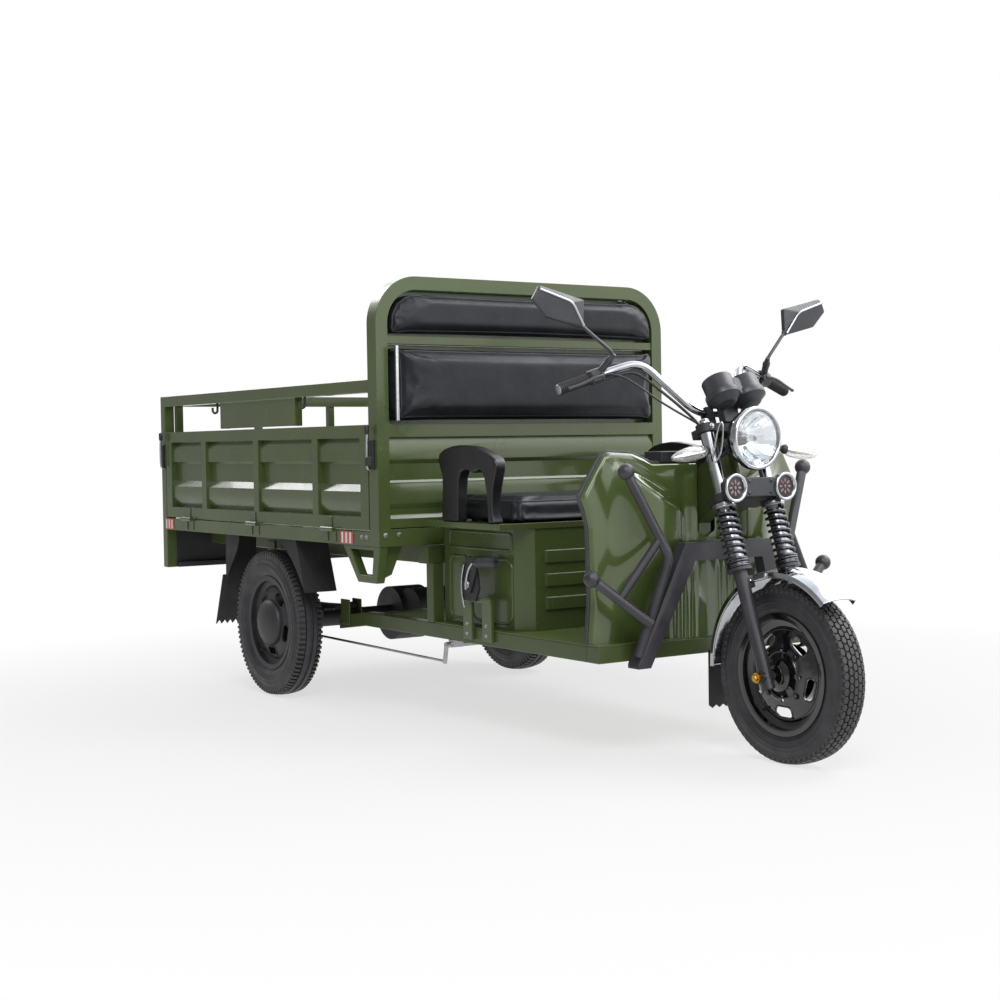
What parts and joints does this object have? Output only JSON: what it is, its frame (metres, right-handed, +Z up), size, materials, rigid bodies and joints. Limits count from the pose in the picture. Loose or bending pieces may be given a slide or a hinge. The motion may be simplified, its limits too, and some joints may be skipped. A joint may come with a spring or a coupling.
{
  "type": "electric cargo tricycle",
  "caption": "Electric cargo tricycle: steered coil-sprung front wheel, leg shield, bench seat over the battery, padded cab guard and a drop-sided load bed on a leaf-sprung rear axle.",
  "frame": {"origin": "on the ground under the middle of the overall box", "axes": "+X forward along the vehicle, +Y to its left, +Z up"},
  "size_m": [3.166, 1.188, 1.404],
  "materials": {
    "green_paint": "gloss olive green",
    "black_paint": "satin black",
    "black_plastic": "satin",
    "leather": "grained black",
    "tyre": "matte",
    "wheel_paint": "gloss black",
    "chrome": "polished",
    "steel": "plain",
    "battery_case": "matte",
    "red_lens": "clear red",
    "clear_lens": "clear",
    "rubber": "matte"
  },
  "bodies": {
    "chassis": {"chassis_rails": "green_paint", "cross_members": "green_paint", "head_frame": "green_paint", "floor_panel": "green_paint", "leg_shield": "green_paint", "inner_panel": "green_paint", "dash_tray": "black_plastic", "crash_bar_right": "black_paint", "crash_bar_left": "black_paint", "seat_box": "green_paint", "seat_deck": "green_paint", "battery_pack": "battery_case", "armrests": "black_plastic", "guard_frame": "green_paint", "guard_panel": "green_paint", "backrest_upper": "leather", "backrest_lower": "leather", "bed_frame": "green_paint", "bed_floor": "green_paint", "side_rail_right": "green_paint", "side_rail_left": "green_paint", "rear_apron": "black_paint", "tail_lamps": "red_lens", "latches": "black_paint", "step_brackets": "green_paint", "leaf_springs": "black_paint", "spring_hangers": "green_paint", "rear_axle": "black_paint", "mudguards": "black_plastic", "parking_brake": "green_paint", "brake_rods": "steel"},
    "steering": {"fork_sliders": "black_paint", "fork_tubes": "chrome", "fork_springs": "steel", "fork_yokes": "black_paint", "front_axle": "steel", "handlebar": "chrome", "controls": "black_plastic", "control_cables": "rubber", "mirrors": "black_plastic", "headlamp": "chrome", "headlamp_lens": "clear_lens", "cluster": "black_plastic", "indicators": "clear_lens", "horns": "steel", "front_fender": "chrome", "fender_flap": "rubber"},
    "wheel_front": {"front_tyre": "tyre", "front_wheel": "wheel_paint"},
    "wheel_rear_right": {"rear_tyre_right": "tyre", "rear_wheel_right": "wheel_paint"},
    "wheel_rear_left": {"rear_tyre_left": "tyre", "rear_wheel_left": "wheel_paint"},
    "side_right": {"drop_side_right": "green_paint"},
    "side_left": {"drop_side_left": "green_paint"},
    "gate": {"tailgate": "green_paint"},
    "seat": {"seat_cushion": "leather"}
  },
  "joints": [
    {"name": "steering_turn", "type": "hinge", "parent": "chassis", "child": "steering", "pos_m": [1.30218, 0, 0.22998], "axis": [-0.3256, 0, 0.9455], "range_deg": [-35, 35]},
    {"name": "front_wheel_spin", "type": "hinge", "parent": "steering", "child": "wheel_front", "pos_m": [1.34, 0, 0.243], "axis": [0, 1, 0], "continuous": true},
    {"name": "rear_right_wheel_spin", "type": "hinge", "parent": "chassis", "child": "wheel_rear_right", "pos_m": [-0.7, -0.51, 0.258], "axis": [0, 1, 0], "continuous": true},
    {"name": "rear_left_wheel_spin", "type": "hinge", "parent": "chassis", "child": "wheel_rear_left", "pos_m": [-0.7, 0.51, 0.258], "axis": [0, 1, 0], "continuous": true},
    {"name": "right_side_drop", "type": "hinge", "parent": "chassis", "child": "side_right", "pos_m": [-0.735, -0.5804, 0.6075], "axis": [1, 0, 0], "range_deg": [0, 180]},
    {"name": "left_side_drop", "type": "hinge", "parent": "chassis", "child": "side_left", "pos_m": [-0.735, 0.5804, 0.6075], "axis": [-1, 0, 0], "range_deg": [0, 180]},
    {"name": "tailgate_drop", "type": "hinge", "parent": "chassis", "child": "gate", "pos_m": [-1.5734, 0, 0.6075], "axis": [0, -1, 0], "range_deg": [0, 180]},
    {"name": "seat_lift", "type": "hinge", "parent": "chassis", "child": "seat", "pos_m": [0.184, 0, 0.646], "axis": [0, -1, 0], "range_deg": [0, 70]}
  ]
}
